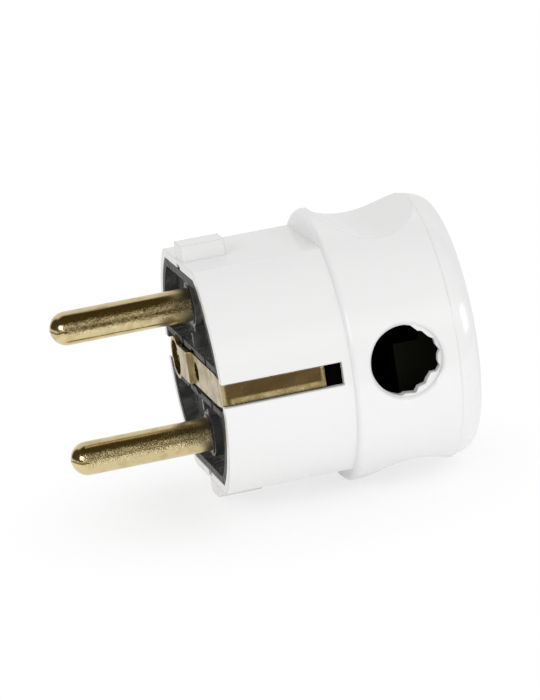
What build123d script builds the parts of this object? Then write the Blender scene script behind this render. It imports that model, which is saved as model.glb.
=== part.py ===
from build123d import *
from math import atan2, cos, radians, sin, tan
import os

# Angled earthed two-pin plug in millimetres, with the line of the pins along Z.
# Origin: centre of the engagement face. The pins point to -X and the cable enters from -Y.

os.makedirs("parts", exist_ok=True)

# Interface given by the plug pattern
pin_dia = 4.8
pin_pitch = 19.0
pin_reach = 19.4
pin_tail_dia = 5.6
pin_tail_stand = 0.15
earth_hole_y = 10.0
earth_hole_dia = 5.2

# Front body of the cover
body_radius = 18.85
body_flat = 16.0
body_length = 18.4
body_corner = 0.5
cover_wall = 1.2
shell_gap = 0.1

# Rear body of the cover
collar_radius = 19.65
collar_edge = 1.0
crease_x = 33.6
crease_radius = 19.25
crease_step = 0.1
rear_x = 36.9
rear_radius = 17.9
rear_crown = 0.4
rear_edge = 1.5
dome_bulge = 0.12
rear_wall = 1.9
scallop_x = 27.0
scallop_floor = 16.0
scallop_radius = 9.2
scallop_wall = 1.6
space_corner = 3.0

# Cable hole and the membrane left in it
entry_x = 26.2
entry_radius = 5.2
entry_bevel = 0.3
membrane_depth = 1.15
membrane_arc = 5.0
membrane_teeth = [
    (-104, 5.0), (-98, 4.7), (-80, 4.9), (-72, 4.3), (-58, 4.5), (-50, 4.2), (-36, 4.1),
    (-30, 4.8), (-20, 5.0), (-12, 4.6), (-2, 4.6), (6, 5.0), (16, 4.7), (27, 4.9), (37, 4.5),
    (52, 4.6), (60, 4.4), (74, 4.9), (84, 5.0),
]

# Guide ribs on the flats
rib_width = 4.3
rib_start = 0.3
rib_end = 6.6
rib_top = 18.3
rib_corner = 0.25
notch_width = 2.0
notch_height = 0.6
notch_depth = 1.5

# Side slots, the folded earth bracket with its eye, and the far earth strip
slot_width = 3.3
slot_end = 17.1
strip_width = 2.9
strip_end = 14.7
strip_outer = 18.15
bracket_thick = 0.7
bracket_face = 0.1
bracket_width = 4.6
eye_face = -0.55
step_y = 1.5
step_run = 0.4
bracket_bend = 0.9
taper_start = 14.0
taper_width = 3.8
bracket_eye_dia = 6.2
bracket_hole_dia = 2.8
hook_reach = 1.0
hook_pocket = 1.5
strip_pocket = 0.8

# Insert
rim_wall = 1.1
pocket_depth = 2.1
floor_back = 5.0
insert_length = 17.0
channel_wall = 0.9
channel_half = 2.75
channel_depth = 1.6
land_half = 1.6
channel_clear = 0.15
web_y = -1.0
web_thick = 0.7
web_drop = 0.3
web_gap = 0.6
pin_ring_dia = 6.6
pin_ring_x = 0.8
wall_notch_y = (5.4, -9.6)
wall_notch_width = 1.2
wall_notch_depth = 0.6
centre_y = -1.0
column_dia = 8.0
column_end = 20.5
pin_boss_dia = 9.0
pin_boss_end = 11.0
partition_z = 4.9
partition_y = -0.5
partition_width = 11.0
partition_wall = 1.2

# Earth socket behind the hole in the face
socket_wall = 0.6
socket_end = 14.5
socket_boss_wall = 1.2
earth_screw_boss = 2.8
socket_play = 0.05
lug_thick = 1.2
lug_half = 2.5
slit_end = 10.0
slit_width = 0.8
earth_screw_z = -6.4

# Cable clamp
clamp_near_y = -11.0
clamp_depth = 5.0
clamp_half = 9.5
clamp_screw_z = 7.5
presser_x = 26.4
presser_top = 0.8
clamp_arm_x = 30.2
clamp_back_x = 32.4
post_half = 2.0
seat_x = 20.0
seat_groove_radius = 5.0

# Small screws, plates and the nut
screw_dia = 3.0
screw_head_dia = 5.4
screw_head_height = 2.0
screw_head_round = 0.4
screw_slot = 0.8
screw_play = 0.04
plate_play = 0.1
column_play = 0.2
pin_play = 0.02
terminal_screw_length = 7.0
terminal_screw_bore = 8.0
clamp_screw_length = 14.0
clamp_screw_bore = 16.0
earth_screw_length = 6.0
plate_size = 6.4
plate_thick = 0.8
plate_turn = 0.7
plate_edge = 0.6
nut_flats = 5.5
nut_height = 2.4
nut_play = 0.05
boss_wall = 0.5
screw_run_out = 6.0
screw_stand = 3.0
washer_dia = 6.0
washer_thick = 0.5
head_recess_dia = 6.6

insert_radius = body_radius - cover_wall - shell_gap
insert_flat = body_flat - cover_wall - shell_gap
bracket_back = bracket_face + bracket_thick
strip_inner = strip_outer - bracket_thick
pin_z = pin_pitch / 2
pin_end = pin_boss_end + 0.8
pin_tail_x = pin_ring_x - pin_tail_stand
rim_x = body_length + collar_edge
entry_skin = collar_radius + (crease_radius - collar_radius) * (entry_x - rim_x) / (crease_x - rim_x)
membrane_y = entry_skin - membrane_depth
socket_outer = earth_hole_dia / 2 + socket_wall
hole_radius = screw_dia / 2 + screw_play
sleeve_end = insert_length + 0.2
space_radius = crease_radius - rear_wall
space_flat = scallop_floor - scallop_wall
space_end = rear_x - rear_wall
step_rise = bracket_face - eye_face
step_shift = bracket_thick * tan(atan2(step_rise, step_run) / 2)
eye_back = eye_face + bracket_thick
head_recess_x = floor_back - 0.4
central_head_x = head_recess_x - washer_thick - screw_head_height


def section(radius, flat):
    """Round section with two flats, drawn on the sketch plane."""
    Circle(radius)
    Rectangle(2 * radius + 2, 2 * flat, mode=Mode.INTERSECT)


def export(piece, label):
    """Name a piece and write it as its own file."""
    piece.part.label = label
    export_step(piece.part, f"parts/{label}.step")


# Hollow of the cover: a sleeve for the insert, then the wiring space with flat sides
with BuildPart() as hollow:
    with BuildSketch(Plane.YZ.offset(sleeve_end)):
        section(space_radius, space_flat)
    extrude(amount=space_end - sleeve_end)
    fillet(hollow.faces().sort_by(Axis.X)[-1].edges(), radius=space_corner)
    with BuildSketch(Plane.YZ.offset(-1)):
        section(body_radius - cover_wall, body_flat - cover_wall)
    extrude(amount=sleeve_end + 1)

# Cover: one moulding, a turned rear body on a flat-sided sleeve
with BuildPart() as cover:
    with BuildSketch(Plane.YZ):
        section(body_radius, body_flat)
        fillet(vertices(), radius=body_corner)
    extrude(amount=body_length + 1)
    with BuildSketch(Plane.XY):
        with BuildLine():
            front = (body_length, collar_radius - collar_edge)
            rim = (rim_x, collar_radius)
            step = (crease_x, crease_radius - crease_step)
            back = (rear_x, rear_radius)
            apex = (rear_x + rear_crown, 0)
            crown_radius = (back[1]**2 + rear_crown**2) / (2 * rear_crown)
            crown_mid = apex[0] - crown_radius + (crown_radius**2 - back[1]**2 / 4) ** 0.5
            Line((body_length, 0), front)
            RadiusArc(front, rim, collar_edge)
            Polyline(rim, (crease_x, crease_radius), step)
            middle = ((step[0] + back[0]) / 2 + dome_bulge, (step[1] + back[1]) / 2 + dome_bulge * 2)
            ThreePointArc(step, middle, back)
            ThreePointArc(back, (crown_mid, back[1] / 2), apex)
            Line(apex, (body_length, 0))
        make_face()
        fillet(vertices().sort_by_distance(back)[0], radius=rear_edge)
    revolve(axis=Axis.X)
    with BuildSketch(Plane.XZ):
        for side in (1, -1):
            with Locations((scallop_x, side * (scallop_floor + scallop_radius))):
                Circle(scallop_radius)
    extrude(amount=collar_radius + 2, both=True, mode=Mode.SUBTRACT)
    add(hollow.part, mode=Mode.SUBTRACT)
    for side in (1, -1):
        root = body_flat - cover_wall / 2
        with BuildSketch(Plane.XZ):
            with Locations(((rib_start + rib_end) / 2, side * (rib_top + root) / 2)):
                Rectangle(rib_end - rib_start, rib_top - root)
            top_corners = [v for v in vertices() if abs(v.Z) > body_flat]
            fillet(top_corners, radius=rib_corner)
        extrude(amount=rib_width / 2, both=True)
        notch_z = side * (body_flat - cover_wall + notch_height / 2)
        with Locations((notch_depth / 2, 0, notch_z)):
            Box(notch_depth, notch_width, notch_height, mode=Mode.SUBTRACT)
    with Locations((slot_end / 2, 0, 0)):
        Box(slot_end, 2 * body_radius + 2, slot_width, mode=Mode.SUBTRACT)
    # cable hole: full bore outside, ragged membrane on the inner side, bevelled rim
    with BuildSketch(Plane.XZ.offset(membrane_y)):
        with Locations((entry_x, 0)):
            Circle(entry_radius)
    extrude(amount=3, mode=Mode.SUBTRACT)
    chamfer(cover.edges(Select.LAST).sort_by(Axis.Y)[0], length=entry_bevel)
    with BuildSketch(Plane.XZ.offset(membrane_y - 4)):
        with BuildLine():
            # knocked-out edge: clean arc toward the pins, torn teeth on the far and lower side
            spots = [(entry_x + r * cos(radians(a)), r * sin(radians(a))) for a, r in membrane_teeth]
            Polyline(*spots)
            ThreePointArc(spots[-1], (entry_x - membrane_arc, 0), spots[0])
        make_face()
    extrude(amount=5, mode=Mode.SUBTRACT)
    # boss for the nut, standing on the rear wall
    with BuildSketch(Plane.YZ.offset(column_end)):
        with Locations((centre_y, 0)):
            Circle(column_dia / 2 + boss_wall)
    extrude(amount=space_end - column_end + boss_wall)
    with BuildSketch(Plane.YZ.offset(column_end)):
        with Locations((centre_y, 0)):
            RegularPolygon(nut_flats / 2 + nut_play, 6, major_radius=False)
    extrude(amount=nut_height, mode=Mode.SUBTRACT)
    with BuildSketch(Plane.YZ.offset(column_end)):
        with Locations((centre_y, 0)):
            Circle(hole_radius)
    extrude(amount=nut_height + screw_run_out, mode=Mode.SUBTRACT)

# Insert: black carrier, one moulding
channel_outer = channel_half + channel_wall
with BuildPart() as insert:
    with BuildSketch(Plane.YZ):
        section(insert_radius, insert_flat)
    extrude(amount=insert_length)
    # open back behind the floor
    with BuildSketch(Plane.YZ.offset(floor_back)):
        section(insert_radius - rim_wall, insert_flat - rim_wall)
    extrude(amount=insert_length - floor_back, mode=Mode.SUBTRACT)
    # two D-shaped pin pockets
    with BuildSketch(Plane.YZ):
        section(insert_radius - rim_wall, insert_flat - rim_wall)
        Rectangle(2 * insert_radius, 2 * channel_outer, mode=Mode.SUBTRACT)
    extrude(amount=pocket_depth, mode=Mode.SUBTRACT)
    # channel for the bracket, with a land along its middle
    with BuildSketch(Plane.YZ):
        Rectangle(2 * (insert_radius - rim_wall), 2 * channel_half)
    extrude(amount=channel_depth, mode=Mode.SUBTRACT)
    near_end = -(insert_radius - rim_wall)
    far_start = step_y + step_run + step_shift
    for top, start, end in ((bracket_back, near_end, step_y), (eye_back, far_start, earth_hole_y)):
        with Locations(((top + channel_depth) / 2, (start + end) / 2, 0)):
            Box(channel_depth - top, end - start, 2 * land_half)
    for notch_y in wall_notch_y:
        for side in (1, -1):
            with Locations((wall_notch_depth / 2, notch_y, side * (channel_half + channel_wall / 2))):
                Box(wall_notch_depth, wall_notch_width, 2 * channel_wall, mode=Mode.SUBTRACT)
    # rim notches: the bracket passes on the near side, the foot of the strip on the far side
    notch_width = bracket_width + 2 * channel_clear
    for side, depth, width in ((-1, bracket_back, notch_width), (1, channel_depth, slot_width)):
        with Locations((depth / 2, side * insert_radius, 0)):
            Box(depth, 2 * rim_wall + 1, width, mode=Mode.SUBTRACT)
    # outer grooves for the two side strips and their hooks
    for side in (1, -1):
        with Locations(((strip_end + strip_pocket) / 2, side * (strip_inner + 2), 0)):
            Box(strip_end + strip_pocket, 4, slot_width, mode=Mode.SUBTRACT)
        with Locations((strip_end - bracket_thick / 2, side * strip_inner, 0)):
            Box(hook_pocket, 2 * hook_pocket, strip_width + 2 * channel_clear, mode=Mode.SUBTRACT)
    # web from each channel wall to the ring of the pin
    web_root = channel_outer - channel_wall / 2
    web_foot = pin_z - pin_ring_dia / 2
    for side in (1, -1):
        for top, tip in ((web_drop, web_foot - web_gap), (pin_ring_x, web_foot + web_gap)):
            with Locations(((top + pocket_depth) / 2, web_y, side * (web_root + tip) / 2)):
                Box(pocket_depth - top, web_thick, tip - web_root)
    # ring around each pin, standing on the pocket floor
    with BuildSketch(Plane.YZ.offset(pin_ring_x)):
        with Locations((0, pin_z), (0, -pin_z)):
            Circle(pin_ring_dia / 2)
    extrude(amount=floor_back - pin_ring_x)
    # bosses behind the floor: pins, earth socket, centre column, earth screw
    with BuildSketch(Plane.YZ.offset(floor_back - 0.5)):
        with Locations((0, pin_z), (0, -pin_z)):
            Circle(pin_boss_dia / 2)
    extrude(amount=pin_boss_end - floor_back + 0.5)
    with BuildSketch(Plane.YZ.offset(floor_back - 0.5)):
        with Locations((earth_hole_y, 0)):
            Circle(socket_outer + socket_boss_wall)
        with Locations((earth_hole_y, earth_screw_z)):
            Circle(earth_screw_boss)
    extrude(amount=socket_end - floor_back + 0.5)
    with BuildSketch(Plane.YZ.offset(floor_back - 0.5)):
        with Locations((centre_y, 0)):
            Circle(column_dia / 2)
    extrude(amount=column_end - floor_back + 0.5)
    # partitions between the live terminals and the middle
    for side in (1, -1):
        with Locations(((floor_back + insert_length) / 2, partition_y, side * partition_z)):
            Box(insert_length - floor_back, partition_width, partition_wall)
    # cable seat and the two clamp posts
    seat_y = clamp_near_y + clamp_depth / 2
    with Locations(((floor_back + seat_x) / 2, seat_y, 0)):
        Box(seat_x - floor_back, clamp_depth, 2 * clamp_screw_z)
    for side, top in ((1, clamp_arm_x), (-1, presser_x)):
        with Locations(((floor_back + top) / 2, seat_y, side * clamp_screw_z)):
            Box(top - floor_back, clamp_depth, 2 * post_half)
    with BuildSketch(Plane.XZ.offset(-clamp_near_y + 1)):
        with Locations((seat_x + 3, 0)):
            Circle(seat_groove_radius)
    extrude(amount=-clamp_depth - 2, mode=Mode.SUBTRACT)
    # bores
    with BuildSketch(Plane.YZ):
        with Locations((0, pin_z), (0, -pin_z)):
            Circle(pin_tail_dia / 2 + pin_play)
    extrude(amount=pin_boss_end, mode=Mode.SUBTRACT)
    with BuildSketch(Plane.YZ):
        with Locations((earth_hole_y, 0)):
            Circle(socket_outer + socket_play)
    extrude(amount=socket_end, mode=Mode.SUBTRACT)
    with BuildSketch(Plane.YZ):
        with Locations((centre_y, 0)):
            Circle(head_recess_dia / 2)
    extrude(amount=head_recess_x, mode=Mode.SUBTRACT)
    with BuildSketch(Plane.YZ):
        with Locations((centre_y, 0)):
            Circle(hole_radius + column_play)
    extrude(amount=column_end, mode=Mode.SUBTRACT)
    with BuildSketch(Plane.YZ.offset(floor_back + 2)):
        with Locations((earth_hole_y, earth_screw_z)):
            Circle(hole_radius)
    extrude(amount=socket_end, mode=Mode.SUBTRACT)
    with BuildSketch(Plane.YZ.offset(clamp_back_x)):
        with Locations((seat_y, clamp_screw_z), (seat_y, -clamp_screw_z)):
            Circle(hole_radius)
    extrude(amount=-clamp_screw_bore, mode=Mode.SUBTRACT)


def make_pin(side):
    """Turned pin: round tip, thicker tail held in the insert, tapped rear end."""
    with BuildPart() as pin:
        with BuildSketch(Plane.XZ):
            with BuildLine():
                tip = -pin_reach
                nose = (tip + pin_dia / 2, side * pin_z + pin_dia / 2)
                axis_z = side * pin_z
                mid = (tip + pin_dia / 2 * (1 - cos(radians(45))), axis_z + pin_dia / 2 * sin(radians(45)))
                ThreePointArc((tip, axis_z), mid, nose)
                Polyline(nose, (pin_end, axis_z + pin_dia / 2), (pin_end, axis_z), (tip, axis_z))
            make_face()
        revolve(axis=Axis((0, 0, axis_z), (1, 0, 0)))
        with BuildSketch(Plane.YZ.offset(pin_tail_x)):
            with Locations((0, axis_z)):
                Circle(pin_tail_dia / 2)
        extrude(amount=pin_boss_end - pin_tail_x)
        with BuildSketch(Plane.YZ.offset(pin_end)):
            with Locations((0, axis_z)):
                Circle(hole_radius)
        extrude(amount=-terminal_screw_bore, mode=Mode.SUBTRACT)
    return pin


def make_screw(x, y, z, length):
    """Slotted cheese-head screw, head behind x and shank toward -X."""
    with BuildPart() as screw:
        with BuildSketch(Plane.YZ.offset(x)):
            with Locations((y, z)):
                Circle(screw_head_dia / 2)
        extrude(amount=screw_head_height)
        fillet(screw.edges().sort_by(Axis.X)[-1], radius=screw_head_round)
        with BuildSketch(Plane.YZ.offset(x)):
            with Locations((y, z)):
                Circle(screw_dia / 2)
        extrude(amount=-length)
        with Locations((x + screw_head_height, y, z)):
            Box(2, screw_head_dia + 1, screw_slot, mode=Mode.SUBTRACT)
    return screw


def make_plate(x, y, z, thick):
    """Square wire plate with a clearance hole, its far edges turned toward the wire."""
    with BuildPart() as plate:
        with BuildSketch(Plane.YZ.offset(x)):
            with Locations((y, z)):
                Rectangle(plate_size, plate_size)
                Circle(hole_radius + plate_play, mode=Mode.SUBTRACT)
        extrude(amount=thick)
        for side in (1, -1):
            with Locations((x + (thick - plate_turn) / 2, y + side * (plate_size - plate_edge) / 2, z)):
                Box(thick + plate_turn, plate_edge, plate_size)
    return plate


def add_hook(side):
    """End of a side strip, turned in toward the axis."""
    with Locations((strip_end - bracket_thick / 2, side * (strip_inner - hook_reach / 2), 0)):
        Box(bracket_thick, hook_reach, strip_width)


# Earth bracket: side strip, bend, plate across the face, step, and the eye for the earth pin
with BuildPart() as earth_bracket:
    front = [(strip_end, -strip_outer), (bracket_face, -strip_outer), (bracket_face, step_y),
             (eye_face, step_y + step_run), (eye_face, earth_hole_y)]
    back = [(strip_end, -strip_inner), (bracket_back, -strip_inner), (bracket_back, step_y + step_shift),
            (eye_back, step_y + step_run + step_shift), (eye_back, earth_hole_y)]
    with BuildSketch(Plane.XY):
        with BuildLine():
            Polyline(*front, *back[::-1], close=True)
        make_face()
        fillet(vertices().sort_by_distance((bracket_face, -strip_outer))[0], radius=bracket_bend)
    extrude(amount=bracket_width / 2, both=True)
    # the plate narrows toward its bend, and the strip is narrower still
    flank_width = (bracket_width - strip_width) / 2
    for flank in (1, -1):
        narrow = flank * taper_width / 2
        wide = flank * bracket_width / 2
        with BuildSketch(Plane.YZ.offset(bracket_face)):
            with BuildLine():
                Polyline((-taper_start, wide), (-strip_outer, narrow), (-strip_outer, wide), close=True)
            make_face()
        extrude(amount=strip_end, mode=Mode.SUBTRACT)
        with Locations((strip_end / 2, -strip_inner - 1, flank * (strip_width + flank_width) / 2)):
            Box(strip_end + 1, 2, flank_width, mode=Mode.SUBTRACT)
    add_hook(-1)
    with BuildSketch(Plane.YZ.offset(eye_face)):
        with Locations((earth_hole_y, 0)):
            Circle(bracket_eye_dia / 2)
    extrude(amount=bracket_thick)
    with BuildSketch(Plane.YZ.offset(eye_face)):
        with Locations((earth_hole_y, 0)):
            Circle(earth_hole_dia / 2)
        with Locations((centre_y, 0)):
            Circle(bracket_hole_dia / 2)
    extrude(amount=step_rise + bracket_thick, mode=Mode.SUBTRACT)

# Earth strip on the far side: its foot passes the rim and meets the socket
with BuildPart() as earth_strip:
    foot_face = channel_depth - bracket_thick
    with BuildSketch(Plane.XY):
        with BuildLine():
            Polyline((foot_face, earth_hole_y), (foot_face, strip_outer), (strip_end, strip_outer),
                     (strip_end, strip_inner), (channel_depth, strip_inner), (channel_depth, earth_hole_y),
                     close=True)
        make_face()
        fillet(vertices().sort_by_distance((foot_face, strip_outer))[0], radius=bracket_bend)
    extrude(amount=strip_width / 2, both=True)
    add_hook(1)
    with BuildSketch(Plane.YZ):
        with Locations((earth_hole_y, 0)):
            Circle(socket_outer)
    extrude(amount=channel_depth + 1, mode=Mode.SUBTRACT)

# Earth socket: split sleeve behind the eye, with a lug for the earth screw
with BuildPart() as earth_socket:
    with BuildSketch(Plane.YZ.offset(eye_back)):
        with Locations((earth_hole_y, 0)):
            Circle(socket_outer)
    extrude(amount=socket_end - eye_back)
    with BuildSketch(Plane.YZ.offset(socket_end)):
        with Locations((earth_hole_y, earth_screw_z / 2)):
            Rectangle(2 * lug_half, 2 * lug_half - earth_screw_z)
    extrude(amount=lug_thick)
    with BuildSketch(Plane.YZ.offset(eye_back)):
        with Locations((earth_hole_y, 0)):
            Circle(earth_hole_dia / 2)
    extrude(amount=socket_end - eye_back, mode=Mode.SUBTRACT)
    with Locations(((eye_back + slit_end) / 2, earth_hole_y, 0)):
        Box(slit_end - eye_back, 2 * socket_outer + 1, slit_width, mode=Mode.SUBTRACT)
    with BuildSketch(Plane.YZ.offset(socket_end)):
        with Locations((earth_hole_y, earth_screw_z)):
            Circle(hole_radius)
    extrude(amount=lug_thick, mode=Mode.SUBTRACT)

# Cable clamp: jaw screwed down on the two posts
with BuildPart() as cable_clamp:
    with Locations(((clamp_arm_x + clamp_back_x) / 2, seat_y, 0)):
        Box(clamp_back_x - clamp_arm_x, clamp_depth, 2 * clamp_half)
    with Locations(((presser_x + clamp_arm_x) / 2, seat_y, (presser_top - clamp_half) / 2)):
        Box(clamp_arm_x - presser_x, clamp_depth, presser_top + clamp_half)
    with BuildSketch(Plane.YZ.offset(presser_x)):
        with Locations((seat_y, clamp_screw_z), (seat_y, -clamp_screw_z)):
            Circle(hole_radius + plate_play)
    extrude(amount=clamp_back_x - presser_x, mode=Mode.SUBTRACT)

# Centre screw: head under the bracket, shank through the column into the nut
with BuildPart() as centre_screw:
    with BuildSketch(Plane.YZ.offset(central_head_x)):
        with Locations((centre_y, 0)):
            Circle(screw_head_dia / 2)
    extrude(amount=screw_head_height)
    fillet(centre_screw.edges().sort_by(Axis.X)[0], radius=screw_head_round)
    with BuildSketch(Plane.YZ.offset(central_head_x)):
        with Locations((centre_y, 0)):
            Circle(screw_dia / 2)
    extrude(amount=column_end + nut_height + screw_stand - central_head_x)
    with Locations((central_head_x, centre_y, 0)):
        Box(2, screw_head_dia + 1, screw_slot, mode=Mode.SUBTRACT)

with BuildPart() as centre_washer:
    with BuildSketch(Plane.YZ.offset(central_head_x + screw_head_height)):
        with Locations((centre_y, 0)):
            Circle(washer_dia / 2)
            Circle(hole_radius + plate_play, mode=Mode.SUBTRACT)
    extrude(amount=washer_thick)

with BuildPart() as centre_nut:
    with BuildSketch(Plane.YZ.offset(column_end)):
        with Locations((centre_y, 0)):
            RegularPolygon(nut_flats / 2, 6, major_radius=False)
            Circle(hole_radius, mode=Mode.SUBTRACT)
    extrude(amount=nut_height)

export(cover, "cover")
export(insert, "insert")
export(earth_bracket, "earth_bracket")
export(earth_strip, "earth_strip")
export(earth_socket, "earth_socket")
export(cable_clamp, "cable_clamp")
export(centre_screw, "centre_screw")
export(centre_washer, "centre_washer")
export(centre_nut, "centre_nut")
for side, word in ((1, "upper"), (-1, "lower")):
    export(make_pin(side), f"pin_{word}")
    export(make_plate(pin_end, 0, side * pin_z, plate_thick), f"terminal_plate_{word}")
    export(make_screw(pin_end + plate_thick, 0, side * pin_z, terminal_screw_length),
           f"terminal_screw_{word}")
    export(make_screw(clamp_back_x, seat_y, side * clamp_screw_z, clamp_screw_length),
           f"clamp_screw_{word}")
export(make_plate(socket_end + lug_thick, earth_hole_y, earth_screw_z, plate_thick), "earth_plate")
export(make_screw(socket_end + lug_thick + plate_thick, earth_hole_y, earth_screw_z, earth_screw_length),
       "earth_screw")
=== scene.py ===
import math

import bmesh
import bpy
from mathutils import Matrix, Vector


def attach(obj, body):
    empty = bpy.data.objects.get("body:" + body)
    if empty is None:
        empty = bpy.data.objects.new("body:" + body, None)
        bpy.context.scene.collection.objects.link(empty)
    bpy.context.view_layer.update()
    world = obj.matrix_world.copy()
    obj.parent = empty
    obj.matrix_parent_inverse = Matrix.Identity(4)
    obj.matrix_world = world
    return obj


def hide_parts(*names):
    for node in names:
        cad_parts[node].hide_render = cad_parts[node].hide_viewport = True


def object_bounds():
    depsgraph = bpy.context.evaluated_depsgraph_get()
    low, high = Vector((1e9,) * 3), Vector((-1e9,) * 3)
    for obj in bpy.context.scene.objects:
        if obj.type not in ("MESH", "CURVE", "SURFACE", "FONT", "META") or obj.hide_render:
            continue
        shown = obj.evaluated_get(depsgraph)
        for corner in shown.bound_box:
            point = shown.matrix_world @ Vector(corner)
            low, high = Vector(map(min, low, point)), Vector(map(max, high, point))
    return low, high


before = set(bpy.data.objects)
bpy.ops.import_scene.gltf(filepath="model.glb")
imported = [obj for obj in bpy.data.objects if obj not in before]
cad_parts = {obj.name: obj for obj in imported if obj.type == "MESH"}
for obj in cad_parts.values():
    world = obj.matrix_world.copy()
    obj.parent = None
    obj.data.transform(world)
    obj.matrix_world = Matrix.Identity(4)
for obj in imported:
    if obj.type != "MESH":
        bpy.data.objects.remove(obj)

cad_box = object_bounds()

# Viewpoint: a long lens a little above the plug, looking into the cable hole, with the
# plug's height leaning slightly to the left in the picture.
picture_width = 540
picture_height = 700
origin_pixel = (194.3, 370.3)
focal_pixels = 3938
view_azimuth = -10.1
view_elevation = 13.4
view_roll = math.radians(-8.87)
view_distance = 0.5556


def outward(azimuth, elevation):
    """Direction out from the plug, from two angles in degrees; azimuth 0 is in front, at -Y."""
    across = math.radians(azimuth)
    up = math.radians(elevation)
    return Vector((math.sin(across) * math.cos(up), -math.cos(across) * math.cos(up), math.sin(up)))


to_camera = outward(view_azimuth, view_elevation)
pan = -math.atan((picture_width / 2 - origin_pixel[0]) / focal_pixels)
tilt = -math.atan((picture_height / 2 - origin_pixel[1]) / focal_pixels)
lens = bpy.data.cameras.new("lens")
lens.sensor_width = 36
lens.lens = focal_pixels * lens.sensor_width / picture_height
lens.clip_start = 0.01
lens.clip_end = 20
camera = bpy.data.objects.new("camera", lens)
camera.matrix_world = (
    Matrix.Translation(to_camera * view_distance)
    @ (-to_camera).to_track_quat("-Z", "Y").to_matrix().to_4x4()
    @ Matrix.Rotation(view_roll, 4, "Z")
    @ Matrix.Rotation(pan, 4, "Y")
    @ Matrix.Rotation(tilt, 4, "X")
)
bpy.context.scene.collection.objects.link(camera)
bpy.context.scene.camera = camera
bpy.context.scene.view_settings.view_transform = "Standard"


# Table: a round sheet of white paper that glows like a light table, so that it stays white
# round the plug and keeps only a faint shadow. It stops no lamp, not even one from below.
class Wire:
    """One output of a node. Arithmetic on it adds Math nodes to the same tree."""

    def __init__(self, tree, socket):
        self.tree = tree
        self.socket = socket

    def __add__(self, other):
        return self.tree.math("ADD", self, other)

    def __radd__(self, other):
        return self.tree.math("ADD", other, self)

    def __sub__(self, other):
        return self.tree.math("SUBTRACT", self, other)

    def __rsub__(self, other):
        return self.tree.math("SUBTRACT", other, self)

    def __mul__(self, other):
        return self.tree.math("MULTIPLY", self, other)

    def __rmul__(self, other):
        return self.tree.math("MULTIPLY", other, self)

    def __truediv__(self, other):
        return self.tree.math("DIVIDE", self, other)

    def __rtruediv__(self, other):
        return self.tree.math("DIVIDE", other, self)

    def __pow__(self, other):
        return self.tree.math("POWER", self, other)

    def __rpow__(self, other):
        return self.tree.math("POWER", other, self)

    def __abs__(self):
        return self.tree.math("ABSOLUTE", self)


class Tree:
    """A node tree under construction, with one method that adds any node."""

    def __init__(self, data):
        self.data = data

    def node(self, kind, settings=None, inputs=None, output=0):
        """Adds a node, with its settings first and then its inputs, and gives one output."""
        made = self.data.nodes.new(kind)
        for name, value in (settings or {}).items():
            if name == "stops":
                self.set_stops(made.color_ramp, value)
            else:
                setattr(made, name, value)
        for name, value in (inputs or {}).items():
            for wire in value if isinstance(value, list) else [value]:
                if isinstance(wire, Wire):
                    self.data.links.new(wire.socket, made.inputs[name])
                else:
                    made.inputs[name].default_value = wire
        return Wire(self, made.outputs[output]) if len(made.outputs) else made

    def set_stops(self, ramp, stops):
        while len(ramp.elements) < len(stops):
            ramp.elements.new(1.0)
        for element, (place, colour) in zip(ramp.elements, stops):
            element.position = place
            element.color = colour

    def math(self, operation, *values):
        return self.node("ShaderNodeMath", {"operation": operation}, dict(enumerate(values)))

    def axes(self, vector):
        """The X, Y and Z parts of a vector, as three wires."""
        split = self.node("ShaderNodeSeparateXYZ", {}, {0: vector}).socket.node
        return [Wire(self, part) for part in split.outputs]


class Finish(Tree):
    """A material or a world, with short names for the nodes that most of them use."""

    def __init__(self, owner):
        owner.use_nodes = True
        super().__init__(owner.node_tree)
        self.data.nodes.clear()
        self.owner = owner

    def place(self):
        return self.node("ShaderNodeTexCoord", output="Object")

    def ray(self, kind):
        return self.node("ShaderNodeLightPath", output=kind)

    def stretched(self, place, factors):
        return self.node("ShaderNodeVectorMath", {"operation": "MULTIPLY"}, {0: place, 1: factors})

    def noise(self, place, **inputs):
        return self.node("ShaderNodeTexNoise", {}, {"Vector": place, **inputs})

    def between(self, value, low, high, out_low=0.0, out_high=1.0):
        """Value's place between low and high, eased, from out_low to out_high."""
        return self.node(
            "ShaderNodeMapRange", {"clamp": True, "interpolation_type": "SMOOTHSTEP"},
            {0: value, 1: low, 2: high, 3: out_low, 4: out_high})

    def mix(self, factor, first, second):
        return self.node(
            "ShaderNodeMix", {"data_type": "RGBA"}, {0: factor, 6: first, 7: second}, output=2)

    def mix_shaders(self, factor, first, second):
        return self.node("ShaderNodeMixShader", {}, {0: factor, 1: first, 2: second})

    def rounded(self, radius):
        """The normal of a surface whose sharp edges are rounded."""
        return self.node("ShaderNodeBevel", {"samples": 6}, {"Radius": radius})

    def bump(self, height, **inputs):
        return self.node("ShaderNodeBump", {}, {"Height": height, "Strength": 1.0, **inputs})

    def principled(self, inputs):
        return self.node("ShaderNodeBsdfPrincipled", {}, inputs)

    def close(self, shader, kind="ShaderNodeOutputMaterial"):
        self.node(kind, {}, {"Surface": shader})
        return self.owner


def rgb(red, green, blue):
    """A colour with full alpha, as sockets and ramps take it."""
    return (red, green, blue, 1.0)


def grey(level):
    return rgb(level, level, level)


floor_level = cad_box[0].z
floor_radius = 0.060
floor_centre = Vector((0.010, 0.0, floor_level))
floor_corners = 96
shadow_inner = 0.012
shadow_outer = 0.045
shadow_lift = 0.70
paper_dark = grey(0.93)
paper_light = grey(0.96)
white = grey(1.0)

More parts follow.
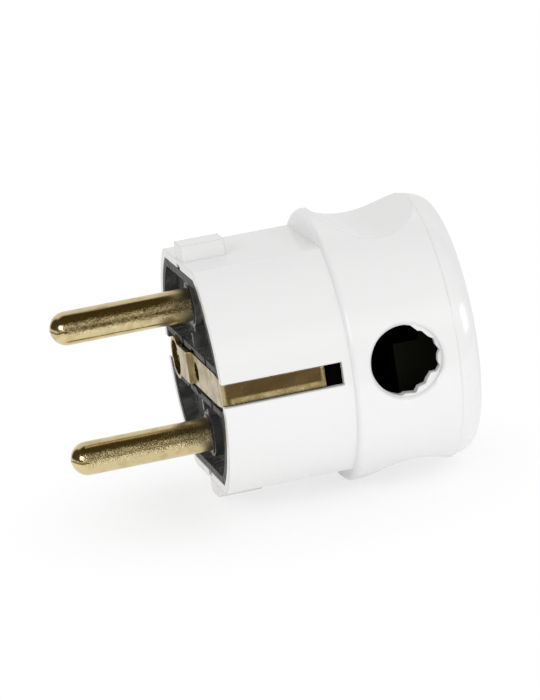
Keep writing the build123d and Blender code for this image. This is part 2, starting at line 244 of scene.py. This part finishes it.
floor_mesh = bpy.data.meshes.new("table_top")
disc = bmesh.new()
bmesh.ops.create_circle(disc, cap_ends=True, segments=floor_corners, radius=floor_radius)
bmesh.ops.translate(disc, verts=disc.verts, vec=floor_centre)
disc.to_mesh(floor_mesh)
disc.free()
table_top = bpy.data.objects.new("table_top", floor_mesh)
bpy.context.scene.collection.objects.link(table_top)

paper = Finish(bpy.data.materials.new("paper"))
place = paper.place()
distance = paper.node(
    "ShaderNodeVectorMath", {"operation": "DISTANCE"}, {0: place, 1: floor_centre}, output="Value")
glow = paper.between(distance, shadow_inner, shadow_outer, shadow_lift, 1.0)
tone = paper.mix(paper.noise(place, Scale=900, Detail=3), paper_dark, paper_light)
matt = paper.node("ShaderNodeBsdfDiffuse", {}, {"Color": tone})
lit = paper.node("ShaderNodeEmission", {}, {"Color": white, "Strength": 1.0})
clear = paper.node("ShaderNodeBsdfTransparent")
seen = paper.ray("Is Camera Ray") + paper.ray("Is Glossy Ray")
surface = paper.mix_shaders(glow * seen, matt, lit)
surface = paper.mix_shaders(paper.ray("Is Shadow Ray"), surface, clear)
floor_mesh.materials.append(paper.close(surface))

# Room: white behind the plug, and softly bright round it, most in front. Metal and gloss
# mirror it with brown dusk between bright walls, by the angle round the X axis from back to
# down, front, up and back again, and with a dark left, which the pins' tips look to.
wall_back = grey(0.69)
wall_front = grey(0.86)
left_dusk = rgb(0.07, 0.055, 0.03)
left_start = -0.42
left_end = -0.62
horizon_start = -0.10
horizon_end = 0.02

room = Finish(bpy.data.worlds.new("room"))
along, back, up = room.axes(room.node("ShaderNodeTexCoord", output="Generated"))
turn = room.math("ARCTAN2", up, 0.0 - back) * (0.5 / math.pi) + 0.5
mirrored_walls = room.node("ShaderNodeValToRGB", {"stops": [
    (0.000, grey(0.85)),
    (0.415, grey(0.90)),
    (0.440, rgb(0.12, 0.085, 0.04)),
    (0.510, rgb(0.13, 0.09, 0.045)),
    (0.540, rgb(0.74, 0.72, 0.66)),
    (0.562, rgb(0.74, 0.72, 0.66)),
    (0.598, rgb(0.08, 0.06, 0.025)),
    (0.785, rgb(0.05, 0.035, 0.015)),
    (0.825, rgb(0.78, 0.77, 0.74)),
    (1.000, grey(0.90)),
]}, {0: turn})
dark_left = room.between(along, left_start, left_end) * room.between(up, horizon_start, horizon_end)
mirrored_walls = room.mix(dark_left, mirrored_walls, left_dusk)
soft_walls = room.mix(back * -0.5 + 0.5, wall_back, wall_front)
walls = room.mix(room.ray("Is Glossy Ray"), soft_walls, mirrored_walls)
walls = room.mix(room.ray("Is Camera Ray"), walls, white)
sky = room.node("ShaderNodeBackground", {}, {"Color": walls, "Strength": 1.0})
bpy.context.scene.world = room.close(sky, "ShaderNodeOutputWorld")
bpy.context.scene.world.cycles.sampling_method = "NONE"

# Lamps: five soft boxes aimed at the origin, in the middle of the plug's face. Two light the
# plug and are not mirrored in it, two are only glints on its gloss and metal, and one lights
# it from below, through the table.
lamp_distance = 0.7


def add_lamp(name, azimuth, elevation, width, height, power, mirrored=True, lighting=True):
    """Soft box that gloss mirrors, if mirrored, and that lights rough surfaces, if lighting."""
    light = bpy.data.lights.new(name, "AREA")
    light.shape = "RECTANGLE"
    light.size = width
    light.size_y = height
    light.energy = power
    direction = outward(azimuth, elevation)
    lamp = bpy.data.objects.new(name, light)
    lamp.matrix_world = (
        Matrix.Translation(direction * lamp_distance)
        @ direction.to_track_quat("Z", "Y").to_matrix().to_4x4()
    )
    lamp.visible_glossy = mirrored
    lamp.visible_diffuse = lighting
    lamp.visible_camera = False
    bpy.context.scene.collection.objects.link(lamp)


add_lamp("key_box", -45, 30, 0.17, 0.17, 0.52, mirrored=False)
add_lamp("glint_box", -52, 17, 0.25, 0.25, 1.1, lighting=False)
add_lamp("shoulder_box", 27, 17, 0.20, 0.30, 0.51, mirrored=False)
add_lamp("streak_box", 54, 7, 0.16, 0.18, 1.0, lighting=False)
add_lamp("under_table", 10, -50, 0.5, 0.4, 0.72, mirrored=False)

# Insert: the carrier for pins and bracket, injection moulded in a glossy black plastic that
# shows flow waves, painted lighter along the waves as partly painted sheen, and specks of
# dust. It slides into the cover from the front, and its back is painted near black as the
# shade of the wiring space.
flow_dark = grey(0.054)
# The lighter flow tone is partly real flow marks and partly painted sheen.
flow_sheen_light = rgb(0.118, 0.118, 0.116)
dust_grey = rgb(0.16, 0.16, 0.15)
rim_dark = grey(0.030)
rim_light = rgb(0.060, 0.060, 0.058)
# Painted shade: near-black tones for the wiring space, used in the insert's back and the cover's
# hollow.
painted_shade_darker = rgb(0.0012, 0.0012, 0.0006)
painted_shade_lighter = rgb(0.0022, 0.0022, 0.0012)
insert_edge = 0.00014
rim_start = 0.00012
rim_end = 0.00022
back_start = 0.0125
back_end = 0.0150


def painted_shade_plastic(finish, pattern):
    """Painted shade: near-black shader for the walls round the wiring space, where hardly any light
    gets in.
    """
    return finish.principled({
        "Base Color": finish.mix(pattern, painted_shade_darker, painted_shade_lighter),
        "Roughness": 0.7,
        "Specular IOR Level": 0.01,
    })


def black_plastic():
    finish = Finish(bpy.data.materials.new("black_plastic"))
    place = finish.place()
    along, _, _ = finish.axes(place)
    flow = finish.stretched(place, (0.5, 1.0, 0.45))
    waves = finish.noise(flow, Scale=520, Detail=3, Distortion=0.9)
    fine = finish.noise(place, Scale=5200, Detail=3)
    specks = finish.noise(place, Scale=3400, Detail=1)
    dust = finish.between(specks, 0.70, 0.78)
    # Flow waves: real flow marks, with a lighter colour along them that is partly painted sheen.
    flow_and_sheen = finish.between(waves, 0.38, 0.62)
    colour = finish.mix(flow_and_sheen, flow_dark, flow_sheen_light)
    colour = finish.mix(dust * 0.5, colour, dust_grey)
    bump = finish.bump(waves + fine * 0.03, Distance=0.00060, Normal=finish.rounded(insert_edge))
    glossy = finish.principled({
        "Base Color": colour,
        "Roughness": 0.30 - flow_and_sheen * 0.18 + dust * 0.3,
        "Normal": bump,
        "IOR": 1.54,
    })
    rim_face = finish.principled({
        "Base Color": finish.mix(waves, rim_dark, rim_light),
        "Roughness": 0.42,
        "Specular IOR Level": 0.18,
        "Normal": bump,
    })
    shader = finish.mix_shaders(finish.between(along, rim_start, rim_end), rim_face, glossy)
    # Painted shade: the insert's back is painted near black as the shade of the wiring space.
    painted_shade_back = finish.between(along, back_start, back_end)
    return finish.close(finish.mix_shaders(painted_shade_back, shader, painted_shade_plastic(finish, waves)))


def dress(nodes, finish):
    """Gives CAD nodes their finish."""
    for name in nodes:
        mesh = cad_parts[name].data
        mesh.materials.clear()
        mesh.materials.append(finish)


dress(["insert"], black_plastic())

# Pins: turned from drawn brass rod, with lengthwise streaks, tarnish and a seam across the
# tip. Sockets have worn the foot dull and one side grainy. Each pin is held in a boss of the
# insert, and its tail in there is painted black as shade.
pin_offset = 0.0095
brass_clean = rgb(0.71, 0.59, 0.335)
brass_tarnished = rgb(0.63, 0.51, 0.27)
grain_bright = rgb(0.98, 0.88, 0.52)
grain_olive = rgb(0.24, 0.185, 0.075)
seam_brown = rgb(0.20, 0.14, 0.05)
# Painted shade: the pin's tail inside the insert is painted black.
tail_painted_shade = grey(0.03)
rubbed_up = 0.20
rubbed_out = 0.98
rubbed_start = 0.0020
rubbed_end = 0.0023
foot_start = -0.0035
foot_end = -0.0004
tip_start = -0.0168
tip_end = -0.0175
seam_outer = 0.00017
seam_inner = 0.00006
seam_wander = 0.0009
tail_start = 0.00058
tail_end = 0.00062


def turned_brass():
    finish = Finish(bpy.data.materials.new("turned_brass"))
    place = finish.place()
    along, back, up = finish.axes(place)
    drawn = finish.noise(finish.stretched(place, (0.05, 1.0, 1.0)), Scale=3200, Detail=3)
    pits = finish.noise(place, Scale=5600, Detail=2, Roughness=0.6)
    patches = finish.noise(place, Scale=500, Detail=4)
    tarnish = finish.between(patches, 0.46, 0.62)
    colour = finish.mix(tarnish, brass_clean, brass_tarnished)

    off_axis = up - finish.math("SIGN", up) * pin_offset
    rubbed = finish.between(off_axis * rubbed_up - back * rubbed_out, rubbed_start, rubbed_end)
    grains = finish.noise(place, Scale=6800, Detail=2, Roughness=0.75)
    colour = finish.mix(finish.between(grains, 0.54, 0.60) * rubbed, colour, grain_bright)
    colour = finish.mix(finish.between(grains, 0.48, 0.42) * rubbed, colour, grain_olive)
    foot_wear = finish.between(along, foot_start, foot_end)

    from_seam = abs(off_axis + (patches - 0.5) * seam_wander)
    seam = finish.between(from_seam, seam_outer, seam_inner) * finish.between(along, tip_start, tip_end)
    colour = finish.mix(seam * 0.85, colour, seam_brown)
    relief = drawn * 0.20 + pits * (rubbed * (tarnish * 0.5 + 0.5) + 0.10) - seam * 1.5
    metal = finish.principled({
        "Base Color": colour,
        "Metallic": 1.0,
        "Roughness": 0.13 + tarnish * 0.05 + foot_wear * 0.20,
        "Normal": finish.bump(relief, Distance=0.00007),
    })
    # Painted shade: the tail inside the insert is black, though the pin is brass throughout.
    painted_shade_tail = finish.principled({"Base Color": tail_painted_shade, "Roughness": 0.35})
    return finish.close(finish.mix_shaders(finish.between(along, tail_start, tail_end), metal, painted_shade_tail))


dress(["pin_upper", "pin_lower"], turned_brass())

# Earth bracket, far strip and socket: stamped from rolled spring brass and folded, with
# rolling grain, stains and rolled-over edges. The strips lie in the slots of the sleeve and
# the socket sits in its own boss of the insert.
strip_clean = rgb(0.53, 0.430, 0.220)
strip_stained = rgb(0.39, 0.302, 0.130)
speck_pale = rgb(0.80, 0.75, 0.62)
strip_edge = 0.00014
lower_edge_start = -0.00150
lower_edge_end = -0.00045
fold_start = 0.0008
fold_end = 0.0016
strip_end_start = 0.01470
strip_end_end = 0.01405


def stamped_brass():
    finish = Finish(bpy.data.materials.new("stamped_brass"))
    place = finish.place()
    along, _, up = finish.axes(place)
    grain = finish.noise(finish.stretched(place, (1.0, 1.0, 0.10)), Scale=4200, Detail=3)
    stains = finish.noise(place, Scale=420, Detail=5, Roughness=0.55)
    dents = finish.noise(place, Scale=230, Detail=1)
    specks = finish.noise(place, Scale=3400, Detail=1)
    worn = finish.between(stains, 0.40, 0.62)
    colour = finish.mix(worn, strip_clean, strip_stained)
    colour = finish.mix(finish.between(specks, 0.70, 0.74), colour, speck_pale)
    rolled_edge = (finish.between(up, lower_edge_start, lower_edge_end)
                   * finish.between(along, fold_start, fold_end))
    rolled_end = finish.between(along, strip_end_start, strip_end_end)
    shaped = finish.bump(
        rolled_edge + rolled_end * 1.6 + dents * 1.2,
        Distance=0.00012, Normal=finish.rounded(strip_edge))
    return finish.close(finish.principled({
        "Base Color": colour,
        "Metallic": 1.0,
        "Roughness": 0.24 + worn * 0.08,
        "Normal": finish.bump(grain + stains * 0.3, Distance=0.00002, Strength=0.35, Normal=shaped),
    }))


dress(["earth_bracket", "earth_strip", "earth_socket"], stamped_brass())

# Screws: slotted cheese-head machine screws, headed and thread-rolled from steel and zinc
# plated. The long one holds insert and cover together, two hold the current wires, one the
# earth wire and two the cable's jaw.
zinc_bright = rgb(0.60, 0.61, 0.62)
zinc_dull = rgb(0.46, 0.46, 0.45)


def plated_steel():
    finish = Finish(bpy.data.materials.new("plated_steel"))
    place = finish.place()
    bloom = finish.noise(place, Scale=900, Detail=4)
    fine = finish.noise(place, Scale=5000, Detail=2)
    return finish.close(finish.principled({
        "Base Color": finish.mix(bloom, zinc_bright, zinc_dull),
        "Metallic": 1.0,
        "Roughness": 0.26 + bloom * 0.16,
        "Normal": finish.bump(fine, Distance=0.00003, Strength=0.3),
    }))


class Form(Tree):
    """A Geometry Nodes tree, with one wire for each size it takes."""

    def __init__(self, name, sizes):
        super().__init__(bpy.data.node_groups.new(name, "GeometryNodeTree"))
        sockets = self.data.interface
        sockets.new_socket("Geometry", in_out="OUTPUT", socket_type="NodeSocketGeometry")
        self.identifiers = {}
        for size in sizes:
            kind = "NodeSocketMaterial" if size == "Material" else "NodeSocketFloat"
            socket = sockets.new_socket(size, in_out="INPUT", socket_type=kind)
            self.identifiers[size] = socket.identifier
        source = self.data.nodes.new("NodeGroupInput")
        self.size = {size: Wire(self, source.outputs[size]) for size in sizes}

    def vector(self, x, y, z):
        return self.node("ShaderNodeCombineXYZ", {}, {0: x, 1: y, 2: z})

    def raised(self, geometry, height):
        return self.node("GeometryNodeTransform", {}, {
            "Geometry": geometry, "Translation": self.vector(0.0, 0.0, height)})

    def close(self, geometry):
        geometry = self.node("GeometryNodeRealizeInstances", {}, {"Geometry": geometry})
        geometry = self.node("GeometryNodeSetMaterial", {}, {
            "Geometry": geometry, "Material": self.size["Material"]})
        self.node("NodeGroupOutput", {}, {"Geometry": geometry})

    def make(self, name, sizes):
        """A plain mesh object of this form, made with the sizes given."""
        piece = bpy.data.objects.new(name, bpy.data.meshes.new(name))
        bpy.context.scene.collection.objects.link(piece)
        modifier = piece.modifiers.new("form", "NODES")
        modifier.node_group = self.data
        for size, value in sizes.items():
            modifier[self.identifiers[size]] = value
        shaped = piece.evaluated_get(bpy.context.evaluated_depsgraph_get())
        mesh = bpy.data.meshes.new_from_object(shaped)
        piece.modifiers.clear()
        piece.data = mesh
        return piece


def slotted_head(form):
    """Cylinder that stands on the XY plane, with a rounded top edge and a slot along Y."""
    # The side has 21 rows, so that the slot's floor, halfway up, is level with no ring of it.
    size = form.size
    blank = form.node("GeometryNodeMeshCylinder", {"fill_type": "NGON"}, {
        "Vertices": 48, "Side Segments": 21,
        "Radius": size["Head Radius"], "Depth": size["Head Height"]})
    x, y, z = form.axes(form.node("GeometryNodeInputPosition"))
    half_height = size["Head Height"] * 0.5
    past = (z - (half_height - size["Head Round"])) / size["Head Round"]
    past = form.math("MAXIMUM", past, 0.0)
    drop = 1.0 - (1.0 - past * past) ** 0.5
    shrink = 1.0 - drop * size["Head Round"] / size["Head Radius"]
    head = form.node("GeometryNodeSetPosition", {}, {
        "Geometry": blank, "Position": form.vector(x * shrink, y * shrink, z + half_height)})
    cutter = form.node("GeometryNodeMeshCube", {}, {
        "Size": form.vector(size["Slot Width"], size["Head Radius"] * 3.0, size["Slot Depth"] * 2.0)})
    return form.node("GeometryNodeMeshBoolean", {"operation": "DIFFERENCE", "solver": "EXACT"}, {
        "Mesh 1": head, "Mesh 2": form.raised(cutter, size["Head Height"])})


def plain_shank(form):
    """Core of the thread, from inside the head down along -Z."""
    size = form.size
    sunk = size["Head Height"] * 0.2
    core = form.node("GeometryNodeMeshCylinder", {"fill_type": "NGON"}, {
        "Vertices": 32,
        "Radius": size["Shank Radius"] - size["Thread Depth"],
        "Depth": size["Shank Length"] + sunk})
    return form.raised(core, (sunk - size["Shank Length"]) * 0.5)


def rolled_thread(form):
    """Three-sided ridge wound right-handed round the core."""
    size = form.size
    ridge = size["Thread Depth"] * 0.8
    rise = size["Shank Length"] - size["Thread Pitch"]
    winding = size["Shank Radius"] - ridge
    helix = form.node("GeometryNodeCurveSpiral", {}, {
        "Resolution": 28, "Rotations": rise / size["Thread Pitch"],
        "Start Radius": winding, "End Radius": winding, "Height": rise, "Reverse": True})
    helix = form.node("GeometryNodeSetCurveNormal", {"mode": "Z_UP"}, {"Curve": helix})
    helix = form.raised(helix, size["Thread Pitch"] * 0.5 - size["Shank Length"])
    crest = form.node("GeometryNodeCurvePrimitiveCircle", {"mode": "RADIUS"}, {
        "Resolution": 3, "Radius": ridge})
    return form.node("GeometryNodeCurveToMesh", {}, {
        "Curve": helix, "Profile Curve": crest, "Fill Caps": True})


steel = plated_steel()
screw_sizes = {
    "Head Radius": 0.0027,
    "Head Height": 0.0020,
    "Head Round": 0.0004,
    "Slot Width": 0.0008,
    "Slot Depth": 0.0010,
    "Shank Radius": 0.0015,
    "Thread Pitch": 0.0005,
    "Thread Depth": 0.0003,
    "Material": steel,
}
clamp_offset = 0.0075
smooth_below = math.radians(35)
onto_back = Matrix.Rotation(math.radians(90), 4, "Y")
onto_front = Matrix.Rotation(math.radians(-90), 4, "Y")

threaded_screw = Form("threaded_screw", [*screw_sizes, "Shank Length"])
threaded_screw.close(threaded_screw.node("GeometryNodeJoinGeometry", {}, {"Geometry": [
    slotted_head(threaded_screw), plain_shank(threaded_screw), rolled_thread(threaded_screw)]}))
for node, seat, shank_length, facing in [
    ("centre_screw", (0.0041, -0.0010, 0.0), 0.0218, onto_front),
    ("earth_screw", (0.0165, 0.0100, -0.0064), 0.0060, onto_back),
    ("terminal_screw_upper", (0.0126, 0.0, pin_offset), 0.0070, onto_back),
    ("terminal_screw_lower", (0.0126, 0.0, -pin_offset), 0.0070, onto_back),
    ("clamp_screw_upper", (0.0324, -0.0085, clamp_offset), 0.0140, onto_back),
    ("clamp_screw_lower", (0.0324, -0.0085, -clamp_offset), 0.0140, onto_back),
]:
    screw = threaded_screw.make(node + "_threaded", {**screw_sizes, "Shank Length": shank_length})
    screw.data.transform(Matrix.Translation(seat) @ facing)
    screw.data.shade_smooth()
    screw.data.set_sharp_from_angle(angle=smooth_below)
    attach(screw, "root")
    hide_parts(node)

# Nut, washer and wire plates: pressed from steel and zinc plated like the screws. Nut and
# washer take the long screw, and the square plates bite on the bared wires.
dress([
    "centre_washer", "centre_nut", "earth_plate", "terminal_plate_upper", "terminal_plate_lower",
], steel)

# Cable clamp: the jaw behind the cable hole, moulded in a matt plastic that is nearly black
# and pressed on the cable by its two screws.
jaw_dark = rgb(0.0110, 0.0120, 0.0075)
jaw_light = rgb(0.0180, 0.0190, 0.0130)


def grey_plastic():
    finish = Finish(bpy.data.materials.new("grey_plastic"))
    grain = finish.noise(finish.place(), Scale=2600, Detail=4)
    return finish.close(finish.principled({
        "Base Color": finish.mix(grain, jaw_dark, jaw_light),
        "Roughness": 0.60 + grain * 0.2,
        "Specular IOR Level": 0.02,
        "Normal": finish.bump(grain, Distance=0.00005, Strength=0.4),
    }))


dress(["cable_clamp"], grey_plastic())

# Cover: the outer moulding, in a hard and glossy white plastic with a faint orange peel and
# a few hairline scuffs. The long screw draws it onto the insert. Its hollow, the wiring space
# seen only through the cable hole, is painted near black as shade.
cover_shaded = grey(0.86)
cover_white = rgb(0.88, 0.88, 0.877)
scuff_grey = grey(0.80)
cover_edge = 0.00030
hollow_start = 0.0175
hollow_end = 0.0351
hollow_radius = 0.01745
hollow_flat = 0.0147


def white_plastic():
    finish = Finish(bpy.data.materials.new("white_plastic"))
    place = finish.place()
    along, _, up = finish.axes(place)
    cloud = finish.noise(place, Scale=90, Detail=3)
    peel = finish.noise(place, Scale=1500, Detail=2)
    hairlines = finish.noise(finish.stretched(place, (0.15, 1.0, 0.6)), Scale=1600, Detail=2)
    scuffs = finish.between(hairlines, 0.70, 0.76)
    colour = finish.mix(cloud, cover_shaded, cover_white)
    colour = finish.mix(scuffs * 0.25, colour, scuff_grey)
    glossy = finish.principled({
        "Base Color": colour,
        "Roughness": finish.between(cloud, 0.3, 0.7, 0.11, 0.16) + scuffs * 0.15,
        "Normal": finish.bump(
            peel, Distance=0.00005, Strength=0.12, Normal=finish.rounded(cover_edge)),
        "IOR": 1.5,
    })
    radius = finish.node(
        "ShaderNodeVectorMath", {"operation": "LENGTH"},
        {0: finish.stretched(place, (0.0, 1.0, 1.0))}, output="Value")
    # Painted shade: the cover's hollow, the wiring space, is painted near black.
    painted_shade_hollow = (
        finish.math("GREATER_THAN", along, hollow_start)
        * finish.math("LESS_THAN", along, hollow_end)
        * finish.math("LESS_THAN", radius, hollow_radius)
        * finish.math("LESS_THAN", abs(up), hollow_flat))
    return finish.close(finish.mix_shaders(painted_shade_hollow, glossy, painted_shade_plastic(finish, cloud)))


dress(["cover"], white_plastic())
